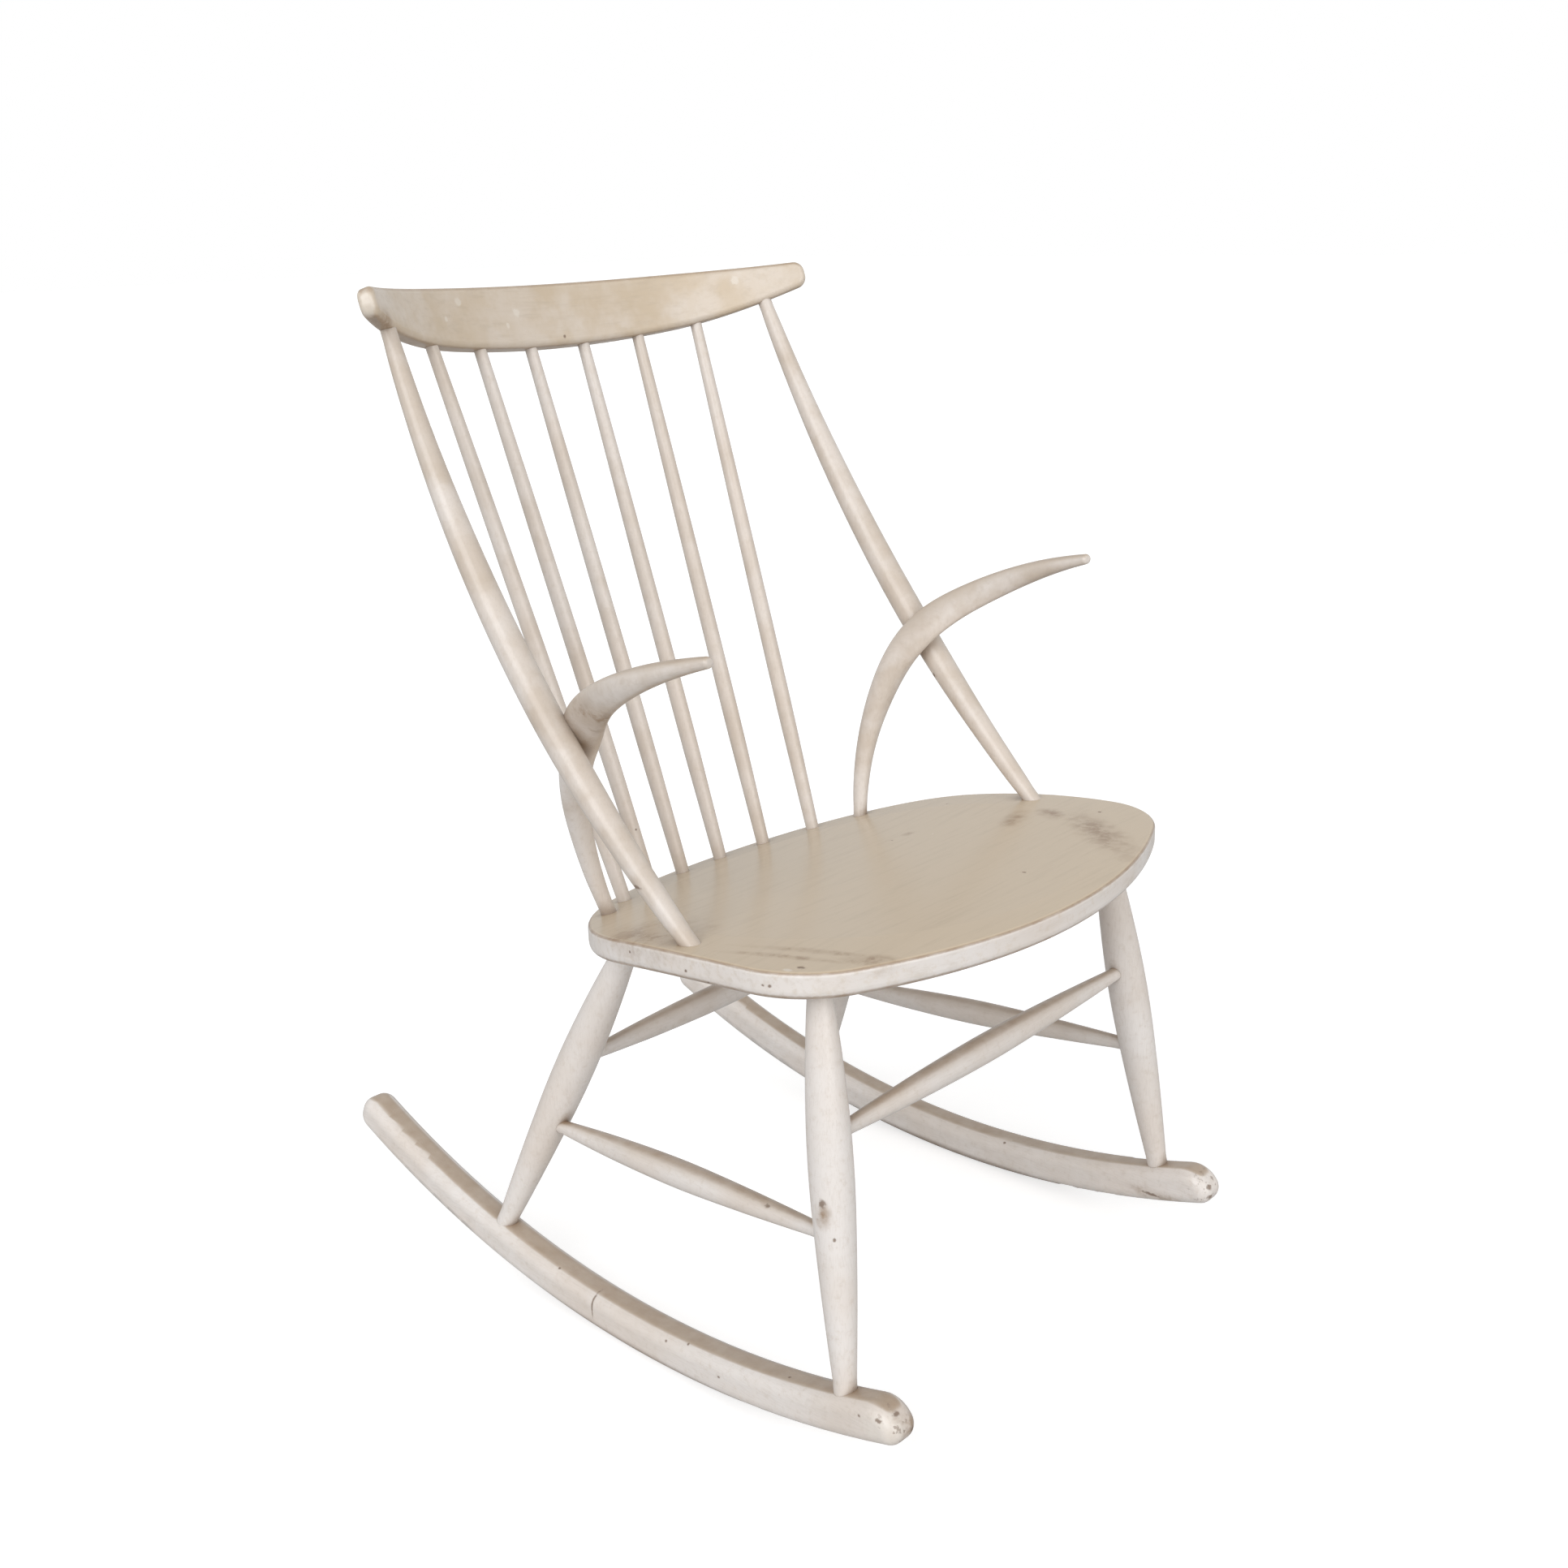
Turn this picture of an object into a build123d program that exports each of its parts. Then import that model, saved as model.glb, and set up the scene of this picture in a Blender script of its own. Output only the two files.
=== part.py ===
from build123d import *
from math import asin, atan2, cos, degrees, hypot, radians, sin, sqrt
import os

# A rocking chair with a spindle back, built of round and shaped wooden members.
# The chair faces -Y and +X is the sitter's left. X is zero on the middle plane,
# Y is zero midway between the rocker tips, and Z is zero on the floor under the
# chair at rest. Sizes are in millimetres and angles in degrees.

# Joints
JOINT_CLEARANCE = 0.1       # radial room round a tenon, and beside a lap
TENON_END_GAP = 1.0         # glue room past the end of a tenon
TENON_LEAD = 5.0            # straight stretch of a tenon before the shaft swells

# Rockers
ROCKER_LENGTH = 744.0       # tip to tip, along Y
ROCKER_SOLE_RADIUS = 1006.0
ROCKER_REST_Y = -50.4       # where the sole touches the floor
ROCKER_WIDTH = 35.0
ROCKER_HEIGHT = 38.0
ROCKER_CORNER = 13.0        # rounding along the bar
ROCKER_TIP_ROUND = 16.0     # rounding of the rear end in the side view
ROCKER_NOSE_SETBACK = 12.0  # the front end leans back, its top this far behind its sole
ROCKER_NOSE_ROUND = 14.0    # rounding between the sole and the front end
ROCKER_NOSE_FLAT = 1.0      # flat left between the roundings of the front end
ROCKER_INSET = 28.7         # middle of a rocker, halfway along, inside the seat's width
ROCKER_TOE = 0.77           # the front tips stand further apart

# Seat
SEAT_HEIGHT = 444.1         # highest line of the top above the floor
SEAT_THICKNESS = 25.0
SEAT_FRONT_Y = -356.7
SEAT_REAR_Y = 120.1
SEAT_HALF_WIDTH = 271.1
SEAT_CROWN_RADIUS = 1277.0  # side view: the top curves down to both edges
SEAT_CROWN_SETBACK = 43.1   # that line lies this far behind the front edge
SEAT_FRONT_ENDS_Y = -275.9  # the front edge's arc meets the sides here, in plan
SEAT_REAR_ENDS_Y = -31.3    # and the rear edge's arc here
SEAT_SIDE_WIDEST_Y = -196.4
SEAT_SIDE_RADIUS = 800.0
SEAT_FRONT_CORNER = 90.0    # rounding where the arcs meet
SEAT_REAR_CORNER = 150.0
SEAT_TOP_EDGE = 4.0
SEAT_UNDER_EDGE = 9.0
DISH_DEPTH = 5.0
DISH_HALF_WIDTH = 222.0
DISH_HALF_LENGTH = 200.0
DISH_MIDDLE_Y = -129.5

# Crest rail
BACK_RISE = 445.0           # crest underside above the seat's highest line
BACK_LEAN = 18.75           # crest and spindles lean back from upright
CREST_Y = 268.1
CREST_THICKNESS = 20.0
CREST_TIP_THICKNESS = 15.5
CREST_OVERHANG = 9.9        # each tip reaches this far past the seat's width
CREST_BEND_RADIUS = 600.0   # plan radius of the middle stretch
CREST_BEND_HALF = 120.0     # half of that stretch
CREST_TIP_FORWARD = 98.1    # tips in front of the middle
CREST_DEPTH = 62.5          # height of the rail at its middle
CREST_TOP_RADIUS = 3400.0   # front view: the middle of the top edge
CREST_TOP_HALF = 120.0      # half of that flatter stretch
CREST_TOP_FALL = 19.7       # the top edge falls this far to each tip
CREST_BELLY_RADIUS = 4000.0
CREST_BELLY_HALF = 150.0
CREST_BELLY_RISE = 18.6     # the lower edge rises this far to each tip
CREST_TIP_CORNER = 13.0
CREST_EDGE = 5.5

# Back spindles
SPINDLES_PER_SIDE = 3
SPINDLE_FOOT_GAP = 45.5     # outermost spindle to the arm, at the seat
SPINDLE_TOP_GAP = 71.0      # outermost spindle to the post, at the crest
SPINDLE_FOOT_DIAMETER = 13.5
SPINDLE_BELLY_DIAMETER = 16.5
SPINDLE_TOP_DIAMETER = 12.0
SPINDLE_BELLY_SHARE = 0.28
SPINDLE_SEAT_TENON = 15.0
SPINDLE_CREST_TENON = 24.0
FOOT_CIRCLE_RADIUS = 300.0  # spindles and arms stand on this circle in the seat
FOOT_CIRCLE_REAR_Y = 93.4

# Back posts
POST_FOOT_INSET = 23.6      # inside the seat's half width
POST_FOOT_Y = -142.0
POST_TOP_INSET = 37.5       # from the crest's tip, along X
POST_BOW = 32.5             # middle of the post behind its chord
POST_BOW_SPLAY = 13.0       # the bow also turns outward
POST_FOOT_DIAMETER = 16.5
POST_BELLY_DIAMETER = 28.5
POST_TOP_DIAMETER = 14.5
POST_BELLY_SHARE = 0.36
POST_SEAT_TENON = 20.0
POST_CREST_TENON = 22.0
POST_LEAD = 9.0

# Arms
ARM_FOOT_INSET = 89.6       # inside the seat's half width
ARM_SPLAY = 14.8            # the arm's plane leans out from upright
ARM_FOOT_DIAMETER = 14.5
ARM_SEAT_TENON = 14.0
ARM_LEAD = 9.0
ARM_WAIST_RISE = 29.0       # rearmost stretch; rises are above the seat's highest line
ARM_WAIST_Y = 38.6
ARM_ELBOW_RISE = 81.3
ARM_ELBOW_Y = 28.7
ARM_LAP_RISE = 142.8        # where the arm crosses the post
ARM_LAP_Y = -2.4
ARM_REST_RISE = 199.6
ARM_REST_Y = -74.8
ARM_REST_OUT = 13.5         # the forearm's rest bulges out of the arm's plane
ARM_NOSE_RISE = 232.0
ARM_NOSE_Y = -155.9
ARM_NOSE_OUT = 10.0
ARM_TIP_RISE = 241.0
ARM_TIP_Y = -193.5
ARM_TIP_OUT = 4.0
ARM_WAIST_DIAMETER = 20.2   # sizes across the arm, and how far along it they lie
ARM_WAIST_SHARE = 0.16
ARM_ELBOW_DIAMETER = 29.6
ARM_ELBOW_SHARE = 0.35
ARM_LAP_WIDTH = 40.3
ARM_LAP_THICKNESS = 19.1
ARM_LAP_SHARE = 0.48
ARM_BLADE_WIDTH = 31.0
ARM_BLADE_THICKNESS = 16.0
ARM_BLADE_SHARE = 0.645
ARM_NOSE_WIDTH = 17.5
ARM_NOSE_THICKNESS = 18.5
ARM_NOSE_SHARE = 0.87
ARM_TIP_WIDTH = 9.5
ARM_TIP_THICKNESS = 11.5
ARM_TIP_ROUND = 3.2         # rounding of the tip's end
ARM_LAP_TWIST = -10.6       # below zero, the arm's upper edge turns outward
ARM_BLADE_TWIST = -5.7
ARM_TIP_TWIST = 20.0
ARM_STATIONS = 16
LAP_NOTCH_DEPTH = 2.9       # the arm's outer side is notched this deep for the post

# Legs
FRONT_LEG_FOOT_Y = -305.5
FRONT_LEG_TOP_INSET = 60.6  # inside the seat's half width
FRONT_LEG_TOP_Y = -253.0
REAR_LEG_FOOT_Y = 144.3
REAR_LEG_TOP_INSET = 103.6
REAR_LEG_TOP_Y = 15.7
LEG_FOOT_DIAMETER = 20.5
LEG_BELLY_DIAMETER = 38.5
LEG_TOP_DIAMETER = 20.5
LEG_BELLY_SHARE = 0.54
LEG_FOOT_TENON = 22.0
LEG_SEAT_TENON = 16.0
LEG_LEAD = 9.0

# Stretchers
FRONT_STRETCHER_HEIGHT = 287.0
REAR_STRETCHER_HEIGHT = 240.0
SIDE_STRETCHER_FRONT_HEIGHT = 203.0
SIDE_STRETCHER_REAR_HEIGHT = 171.0
STRETCHER_END_DIAMETER = 13.5
STRETCHER_BELLY_DIAMETER = 26.0
STRETCHER_PAST_AXIS = 5.0   # tenon ends this far past the middle of the leg
STRETCHER_LEAD = 8.0        # straight stretch beside each leg

# Curves
SHAFT_STATIONS = 8          # sections that set the swell of a shaft
SWELL_START_POWER = 1.5     # how full a shaft stays from its belly to its start
SWELL_FINISH_POWER = 1.9    # and from its belly to its finish
ROUNDED_END_SHARE = 0.43    # a corner may take this much of the end it rounds
TIP_STEPS = 12              # steps that settle where a rocker's rounded tip ends
FLATNESS = 0.01             # a face this level counts as upright or flat

# Places that follow the seat's width
ROCKER_HALF_TRACK = SEAT_HALF_WIDTH - ROCKER_INSET
CREST_HALF_LENGTH = SEAT_HALF_WIDTH + CREST_OVERHANG
POST_FOOT_X = SEAT_HALF_WIDTH - POST_FOOT_INSET
POST_TOP_X = CREST_HALF_LENGTH - POST_TOP_INSET
ARM_FOOT_X = SEAT_HALF_WIDTH - ARM_FOOT_INSET
FRONT_LEG_TOP_X = SEAT_HALF_WIDTH - FRONT_LEG_TOP_INSET
REAR_LEG_TOP_X = SEAT_HALF_WIDTH - REAR_LEG_TOP_INSET


def rocker_x(y):
    """Middle of the left rocker at a place along the chair."""
    return ROCKER_HALF_TRACK - y * sin(radians(ROCKER_TOE))


def on_rocker(y, depth):
    """Point in the left rocker's middle plane, a depth below its top line."""
    radius = ROCKER_SOLE_RADIUS - ROCKER_HEIGHT + depth
    height = ROCKER_SOLE_RADIUS - sqrt(radius**2 - (y - ROCKER_REST_Y) ** 2)
    return Vector(rocker_x(y), y, height)


def crown_middle():
    """Middle of the circle that the seat's top follows, as (y, z)."""
    apex_y = SEAT_FRONT_Y + SEAT_CROWN_SETBACK
    return apex_y, SEAT_HEIGHT - SEAT_CROWN_RADIUS


def on_seat(x, y, depth=0.0):
    """Point a depth below the seat's undished top."""
    middle_y, middle_z = crown_middle()
    radius = SEAT_CROWN_RADIUS - depth
    return Vector(x, y, middle_z + sqrt(radius**2 - (y - middle_y) ** 2))


def crest_frame():
    """Frame of the crest: X along it, Y back through it, Z up its lean."""
    lean = radians(BACK_LEAN)
    origin = (0, CREST_Y, SEAT_HEIGHT + BACK_RISE)
    return Plane(origin=origin, x_dir=(1, 0, 0), z_dir=(0, sin(lean), cos(lean)))


def tip_radius(middle_radius, middle_half, tip_fall):
    """Radius of the tangent arcs that bring a curve to its full fall at the crest's tips."""
    turn = asin(middle_half / middle_radius)
    reach = CREST_HALF_LENGTH - middle_half
    chord = atan2(tip_fall - middle_radius * (1 - cos(turn)), reach)
    return reach / (sin(2 * chord - turn) - sin(turn))


def bend_drop(x, middle_radius, middle_half, tip_fall):
    """Fall of a curve of one middle arc and a tangent arc on to each tip."""
    reach = abs(x)
    if reach <= middle_half:
        return middle_radius - sqrt(middle_radius**2 - reach**2)
    turn = asin(middle_half / middle_radius)
    first = middle_radius * (1 - cos(turn))
    radius = tip_radius(middle_radius, middle_half, tip_fall)
    angle = asin(sin(turn) + (reach - middle_half) / radius)
    return first + radius * (cos(turn) - cos(angle))


def crest_back(x):
    """Place of the crest's middle sheet in the crest's frame, along its Y."""
    return -bend_drop(x, CREST_BEND_RADIUS, CREST_BEND_HALF, CREST_TIP_FORWARD)


def crest_belly(x):
    """Height of the crest's lower edge in the crest's frame."""
    return bend_drop(x, CREST_BELLY_RADIUS, CREST_BELLY_HALF, CREST_BELLY_RISE)


def on_crest(x, height=0.0):
    """Point on the crest's middle sheet, a height above its lower edge."""
    return crest_frame().from_local_coords(Vector(x, crest_back(x), crest_belly(x) + height))


def swell(along, end, belly, other_end, belly_at):
    """Diameter of a shaft that swells from both ends to one belly."""
    if along < belly_at:
        share = (belly_at - along) / belly_at
        return end + (belly - end) * (1 - share**SWELL_START_POWER)
    share = (along - belly_at) / (1 - belly_at)
    return other_end + (belly - other_end) * (1 - share**SWELL_FINISH_POWER)


def turned(start, finish, start_tenon, finish_tenon, end, belly, other_end, belly_at,
           lead=TENON_LEAD):
    """Turned round member from start to finish, with a tenon past each."""
    length = (finish - start).length
    stations = []
    for index in range(SHAFT_STATIONS + 1):
        along = index / SHAFT_STATIONS
        diameter = swell(along, end, belly, other_end, belly_at)
        stations.append((diameter / 2, lead + along * (length - 2 * lead)))
    outline = Polyline(stations[0], (end / 2, -start_tenon), (0, -start_tenon),
                       (0, length + finish_tenon), (other_end / 2, length + finish_tenon),
                       stations[-1])
    face = make_face([outline, Spline(*stations)])
    shaft = revolve(Plane.XZ * face, axis=Axis.Z)
    return Plane(origin=start, z_dir=finish - start) * shaft


def mortise(mouth, inward, diameter, depth, proud):
    """Round hole for a tenon, from a little proud of the surface to its floor."""
    length = proud + depth + TENON_END_GAP
    hole = Cylinder(diameter / 2 + JOINT_CLEARANCE, length,
                    align=(Align.CENTER, Align.CENTER, Align.MIN))
    return Plane(origin=mouth - inward.normalized() * proud, z_dir=inward) * hole


def bored(piece, mortises):
    """The piece with its mortises cut."""
    for hole in mortises:
        piece = piece - hole
    return piece


def left_spindles():
    """Seat point and crest point of each spindle on the left of the middle."""
    ends = []
    for index in range(SPINDLES_PER_SIDE):
        share = (index + 0.5) / (SPINDLES_PER_SIDE - 0.5)
        foot_x = share * (ARM_FOOT_X - SPINDLE_FOOT_GAP)
        top_x = share * (POST_TOP_X - SPINDLE_TOP_GAP)
        ends.append((on_seat(foot_x, foot_circle_y(foot_x)), on_crest(top_x)))
    return ends


def foot_circle_y(x):
    """Place of a foot of the back on its circle in the seat."""
    drop = FOOT_CIRCLE_RADIUS - sqrt(FOOT_CIRCLE_RADIUS**2 - x**2)
    return FOOT_CIRCLE_REAR_Y - drop


def front_leg_ends():
    """Rocker point and seat point of the left front leg."""
    foot = on_rocker(FRONT_LEG_FOOT_Y, 0)
    return foot, on_seat(FRONT_LEG_TOP_X, FRONT_LEG_TOP_Y, SEAT_THICKNESS)


def rear_leg_ends():
    """Rocker point and seat point of the left rear leg."""
    foot = on_rocker(REAR_LEG_FOOT_Y, 0)
    return foot, on_seat(REAR_LEG_TOP_X, REAR_LEG_TOP_Y, SEAT_THICKNESS)


def on_leg(ends, height):
    """Point on a leg's axis at a height above the floor."""
    foot, top = ends
    share = (height - foot.Z) / (top.Z - foot.Z)
    return foot + (top - foot) * share


def leg_radius(ends, height):
    """Radius of a leg at a height above the floor."""
    foot, top = ends
    along = (height - foot.Z) / (top.Z - foot.Z)
    return swell(along, LEG_FOOT_DIAMETER, LEG_BELLY_DIAMETER, LEG_TOP_DIAMETER,
                 LEG_BELLY_SHARE) / 2


def mirrored(point):
    """The same point on the right of the chair."""
    return Vector(-point.X, point.Y, point.Z)


def stretcher_lines():
    """Axis of each stretcher, from leg axis to leg axis, with the leg radii."""
    front, rear = front_leg_ends(), rear_leg_ends()
    across_front = on_leg(front, FRONT_STRETCHER_HEIGHT)
    across_rear = on_leg(rear, REAR_STRETCHER_HEIGHT)
    side_front = on_leg(front, SIDE_STRETCHER_FRONT_HEIGHT)
    side_rear = on_leg(rear, SIDE_STRETCHER_REAR_HEIGHT)
    front_radius = leg_radius(front, FRONT_STRETCHER_HEIGHT)
    rear_radius = leg_radius(rear, REAR_STRETCHER_HEIGHT)
    return {
        "front": (across_front, mirrored(across_front), front_radius, front_radius),
        "rear": (across_rear, mirrored(across_rear), rear_radius, rear_radius),
        "side": (side_front, side_rear,
                 leg_radius(front, SIDE_STRETCHER_FRONT_HEIGHT),
                 leg_radius(rear, SIDE_STRETCHER_REAR_HEIGHT)),
    }


def stretcher(line):
    """Stretcher between two legs, with a tenon in each."""
    start, finish, start_radius, finish_radius = line
    along = (finish - start).normalized()
    return turned(start + along * start_radius, finish - along * finish_radius,
                  start_radius + STRETCHER_PAST_AXIS, finish_radius + STRETCHER_PAST_AXIS,
                  STRETCHER_END_DIAMETER, STRETCHER_BELLY_DIAMETER,
                  STRETCHER_END_DIAMETER, 0.5, lead=STRETCHER_LEAD)


def stretcher_mortise(axis_point, towards, radius):
    """Mortise in a leg for a stretcher that comes from the point towards."""
    inward = (axis_point - towards).normalized()
    return mortise(axis_point, inward, STRETCHER_END_DIAMETER, STRETCHER_PAST_AXIS,
                   radius + STRETCHER_LEAD)


def tip_turn(reach, rounding, run):
    """Angle round the sole's circle of an end whose tip lies a reach from its lowest point.

    The end's rounding starts on the sole, a run short of the corner.
    """
    turn = 0
    for _ in range(TIP_STEPS):
        turn = asin((reach - rounding + run * cos(turn)) / (ROCKER_SOLE_RADIUS - rounding))
    return turn


def rocker_outline():
    """Side view of a rocker: two concentric arcs, a rounded rear end and a leaning nose."""
    def point(turn, depth):
        radius = ROCKER_SOLE_RADIUS - ROCKER_HEIGHT + depth
        return ROCKER_REST_Y + radius * sin(turn), ROCKER_SOLE_RADIUS - radius * cos(turn)

    lean = atan2(ROCKER_NOSE_SETBACK, ROCKER_HEIGHT)
    low_run = ROCKER_NOSE_ROUND * (1 + sin(lean)) / cos(lean)
    top_run = ROCKER_HEIGHT / cos(lean) - low_run - ROCKER_NOSE_FLAT
    front = -tip_turn(ROCKER_LENGTH / 2 + ROCKER_REST_Y, ROCKER_NOSE_ROUND, low_run)
    rear = tip_turn(ROCKER_LENGTH / 2 - ROCKER_REST_Y, ROCKER_TIP_ROUND, ROCKER_TIP_ROUND)
    front_top = point(front + ROCKER_NOSE_SETBACK / (ROCKER_SOLE_RADIUS - ROCKER_HEIGHT), 0)
    front_low = point(front, ROCKER_HEIGHT)
    rear_ends = [point(rear, depth) for depth in (0, ROCKER_HEIGHT)]
    sole = ThreePointArc(front_low, point(0, ROCKER_HEIGHT), rear_ends[1])
    top = ThreePointArc(front_top, point(0, 0), rear_ends[0])
    outline = make_face([sole, top, Line(front_low, front_top), Line(*rear_ends)])
    for corner, radius in ((front_top, top_run * (1 + sin(lean)) / cos(lean)),
                           (front_low, ROCKER_NOSE_ROUND),
                           (rear_ends[0], ROCKER_TIP_ROUND), (rear_ends[1], ROCKER_TIP_ROUND)):
        outline = fillet(outline.vertices().sort_by_distance(Vertex(*corner))[0], radius)
    return outline


def rocker():
    """Left rocker: a bar with rounded edges, bent to an arc, bored for the legs."""
    bar = extrude(Plane.YZ * rocker_outline(), ROCKER_WIDTH / 2, both=True)
    sides = bar.faces().filter_by(GeomType.PLANE).sort_by(Axis.X)
    bar = fillet(sides[0].edges() + sides[-1].edges(), ROCKER_CORNER)
    placed = Pos(ROCKER_HALF_TRACK, 0, 0) * Rot(Z=ROCKER_TOE) * bar
    holes = [mortise(foot, foot - top, LEG_FOOT_DIAMETER, LEG_FOOT_TENON, ROCKER_HEIGHT / 2)
             for foot, top in (front_leg_ends(), rear_leg_ends())]
    return bored(placed, holes)


def leg(ends):
    """Turned leg with a tenon in the rocker and one in the seat."""
    foot, top = ends
    return turned(foot, top, LEG_FOOT_TENON, LEG_SEAT_TENON, LEG_FOOT_DIAMETER,
                  LEG_BELLY_DIAMETER, LEG_TOP_DIAMETER, LEG_BELLY_SHARE, lead=LEG_LEAD)


def front_leg():
    """Left front leg, bored for the front and the side stretcher."""
    lines = stretcher_lines()
    start, finish, radius, _ = lines["front"]
    side_start, side_finish, side_radius, _ = lines["side"]
    holes = [stretcher_mortise(start, finish, radius),
             stretcher_mortise(side_start, side_finish, side_radius)]
    return bored(leg(front_leg_ends()), holes)


def rear_leg():
    """Left rear leg, bored for the rear and the side stretcher."""
    lines = stretcher_lines()
    start, finish, radius, _ = lines["rear"]
    side_start, side_finish, _, side_radius = lines["side"]
    holes = [stretcher_mortise(start, finish, radius),
             stretcher_mortise(side_finish, side_start, side_radius)]
    return bored(leg(rear_leg_ends()), holes)


def seat_side_x(y):
    """Half width of the seat's plan at a place along it, before its corners are rounded."""
    drop = SEAT_SIDE_RADIUS - sqrt(SEAT_SIDE_RADIUS**2 - (y - SEAT_SIDE_WIDEST_Y) ** 2)
    return SEAT_HALF_WIDTH - drop


def seat_outline():
    """Plan of the seat: four arcs with rounded corners."""
    front_x, rear_x = seat_side_x(SEAT_FRONT_ENDS_Y), seat_side_x(SEAT_REAR_ENDS_Y)
    edges = [
        ThreePointArc((-front_x, SEAT_FRONT_ENDS_Y), (0, SEAT_FRONT_Y),
                      (front_x, SEAT_FRONT_ENDS_Y)),
        ThreePointArc((-rear_x, SEAT_REAR_ENDS_Y), (0, SEAT_REAR_Y), (rear_x, SEAT_REAR_ENDS_Y)),
    ]
    for side in (-1, 1):
        edges.append(ThreePointArc((side * front_x, SEAT_FRONT_ENDS_Y),
                                   (side * SEAT_HALF_WIDTH, SEAT_SIDE_WIDEST_Y),
                                   (side * rear_x, SEAT_REAR_ENDS_Y)))
    corners = make_face(edges)
    by_depth = corners.vertices().sort_by(Axis.Y)
    outline = fillet(by_depth[:2], SEAT_FRONT_CORNER)
    by_depth = outline.vertices().sort_by(Axis.Y)
    return fillet(by_depth[-2:], SEAT_REAR_CORNER)


def seat_dish():
    """Cutter for the shallow hollow in the seat's top."""
    middle_y, middle_z = crown_middle()
    deepest = on_seat(0, DISH_MIDDLE_Y)
    outward = (deepest - Vector(0, middle_y, middle_z)).normalized()
    across_radius = DISH_HALF_WIDTH**2 / (2 * DISH_DEPTH)
    along_curvature = 1 / SEAT_CROWN_RADIUS - 2 * DISH_DEPTH / DISH_HALF_LENGTH**2
    along_radius = 1 / along_curvature
    axis_point = deepest - outward * (DISH_DEPTH + along_radius)
    reach = SEAT_HALF_WIDTH
    rise = reach**2 / (2 * across_radius)
    lid = along_radius + rise + SEAT_THICKNESS
    edge = ThreePointArc((-reach, along_radius + rise), (0, along_radius),
                         (reach, along_radius + rise))
    lid_lines = Polyline((reach, along_radius + rise), (reach, lid), (-reach, lid),
                         (-reach, along_radius + rise))
    sweep_angle = degrees(2 * (DISH_HALF_LENGTH + SEAT_THICKNESS) / along_radius)
    profile = make_face([edge, lid_lines])
    cutter = revolve(profile, axis=Axis.X, revolution_arc=sweep_angle)
    tilt = degrees(atan2(outward.Z, outward.Y))
    return Pos(axis_point) * Rot(X=tilt - sweep_angle / 2) * cutter


def seat():
    """Bent and dished seat with the mortises of everything that stands in it."""
    middle_y, middle_z = crown_middle()
    block = extrude(seat_outline(), SEAT_HEIGHT + SEAT_THICKNESS)
    across = 2 * (SEAT_HALF_WIDTH + SEAT_THICKNESS)
    crown = Cylinder(SEAT_CROWN_RADIUS, across, rotation=(0, 90, 0))
    core = Cylinder(SEAT_CROWN_RADIUS - SEAT_THICKNESS, across, rotation=(0, 90, 0))
    shell = Pos(0, middle_y, middle_z) * (crown - core)
    board = (block & shell).solids().sort_by(Axis.Z)[-1]
    top = board.faces().sort_by(SortBy.AREA)[-2:].sort_by(Axis.Z)[-1]
    board = fillet(top.edges(), SEAT_TOP_EDGE)
    underside = board.faces().sort_by(SortBy.AREA)[-2:].sort_by(Axis.Z)[0]
    board = fillet(underside.edges(), SEAT_UNDER_EDGE) - seat_dish()
    return bored(board, seat_mortises())


def seat_mortises():
    """Every hole in the seat, on both sides."""
    left = []
    for foot, top in left_spindles():
        left.append(mortise(foot, foot - top, SPINDLE_FOOT_DIAMETER, SPINDLE_SEAT_TENON,
                            TENON_LEAD))
    for foot, top in (front_leg_ends(), rear_leg_ends()):
        left.append(mortise(top, top - foot, LEG_TOP_DIAMETER, LEG_SEAT_TENON,
                            LEG_TOP_DIAMETER / 2))
    left.append(post_mortise(0, -1, POST_FOOT_DIAMETER, POST_SEAT_TENON))
    left.append(arm_mortise())
    return left + [mirror(hole, about=Plane.YZ) for hole in left]


def crest_plan_point(turn, offset):
    """Point on the crest's plan at an angle round its bend, off the middle sheet."""
    middle_turn = asin(CREST_BEND_HALF / CREST_BEND_RADIUS)
    side = 1 if turn > 0 else -1
    reach = min(abs(turn), middle_turn)
    x = (CREST_BEND_RADIUS + offset) * sin(reach)
    y = (CREST_BEND_RADIUS + offset) * cos(reach) - CREST_BEND_RADIUS
    past = max(abs(turn), middle_turn)
    radius = tip_radius(CREST_BEND_RADIUS, CREST_BEND_HALF, CREST_TIP_FORWARD)
    x += (radius + offset) * (sin(past) - sin(middle_turn))
    y += (radius + offset) * (cos(past) - cos(middle_turn))
    return side * x, y


def crest_plan():
    """Plan of the crest: one middle arc and two tighter ones, thinner at the tips."""
    middle_turn = asin(CREST_BEND_HALF / CREST_BEND_RADIUS)
    radius = tip_radius(CREST_BEND_RADIUS, CREST_BEND_HALF, CREST_TIP_FORWARD)
    last_turn = asin(sin(middle_turn) + (CREST_HALF_LENGTH - CREST_BEND_HALF) / radius)
    lines = []
    for side in (-1, 1):
        offset = side * CREST_THICKNESS / 2
        tip_offset = side * CREST_TIP_THICKNESS / 2
        left = crest_plan_point(middle_turn, offset)
        right = crest_plan_point(-middle_turn, offset)
        middle = ThreePointArc(right, crest_plan_point(0, offset), left)
        lines.append(TangentArc(left, crest_plan_point(last_turn, tip_offset),
                                tangent=middle % 1))
        lines.append(middle)
        lines.append(TangentArc(right, crest_plan_point(-last_turn, tip_offset),
                                tangent=(middle % 0) * -1))
    for side in (-1, 1):
        lines.append(Line(crest_plan_point(side * last_turn, CREST_TIP_THICKNESS / 2),
                          crest_plan_point(side * last_turn, -CREST_TIP_THICKNESS / 2)))
    return make_face(lines)


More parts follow.
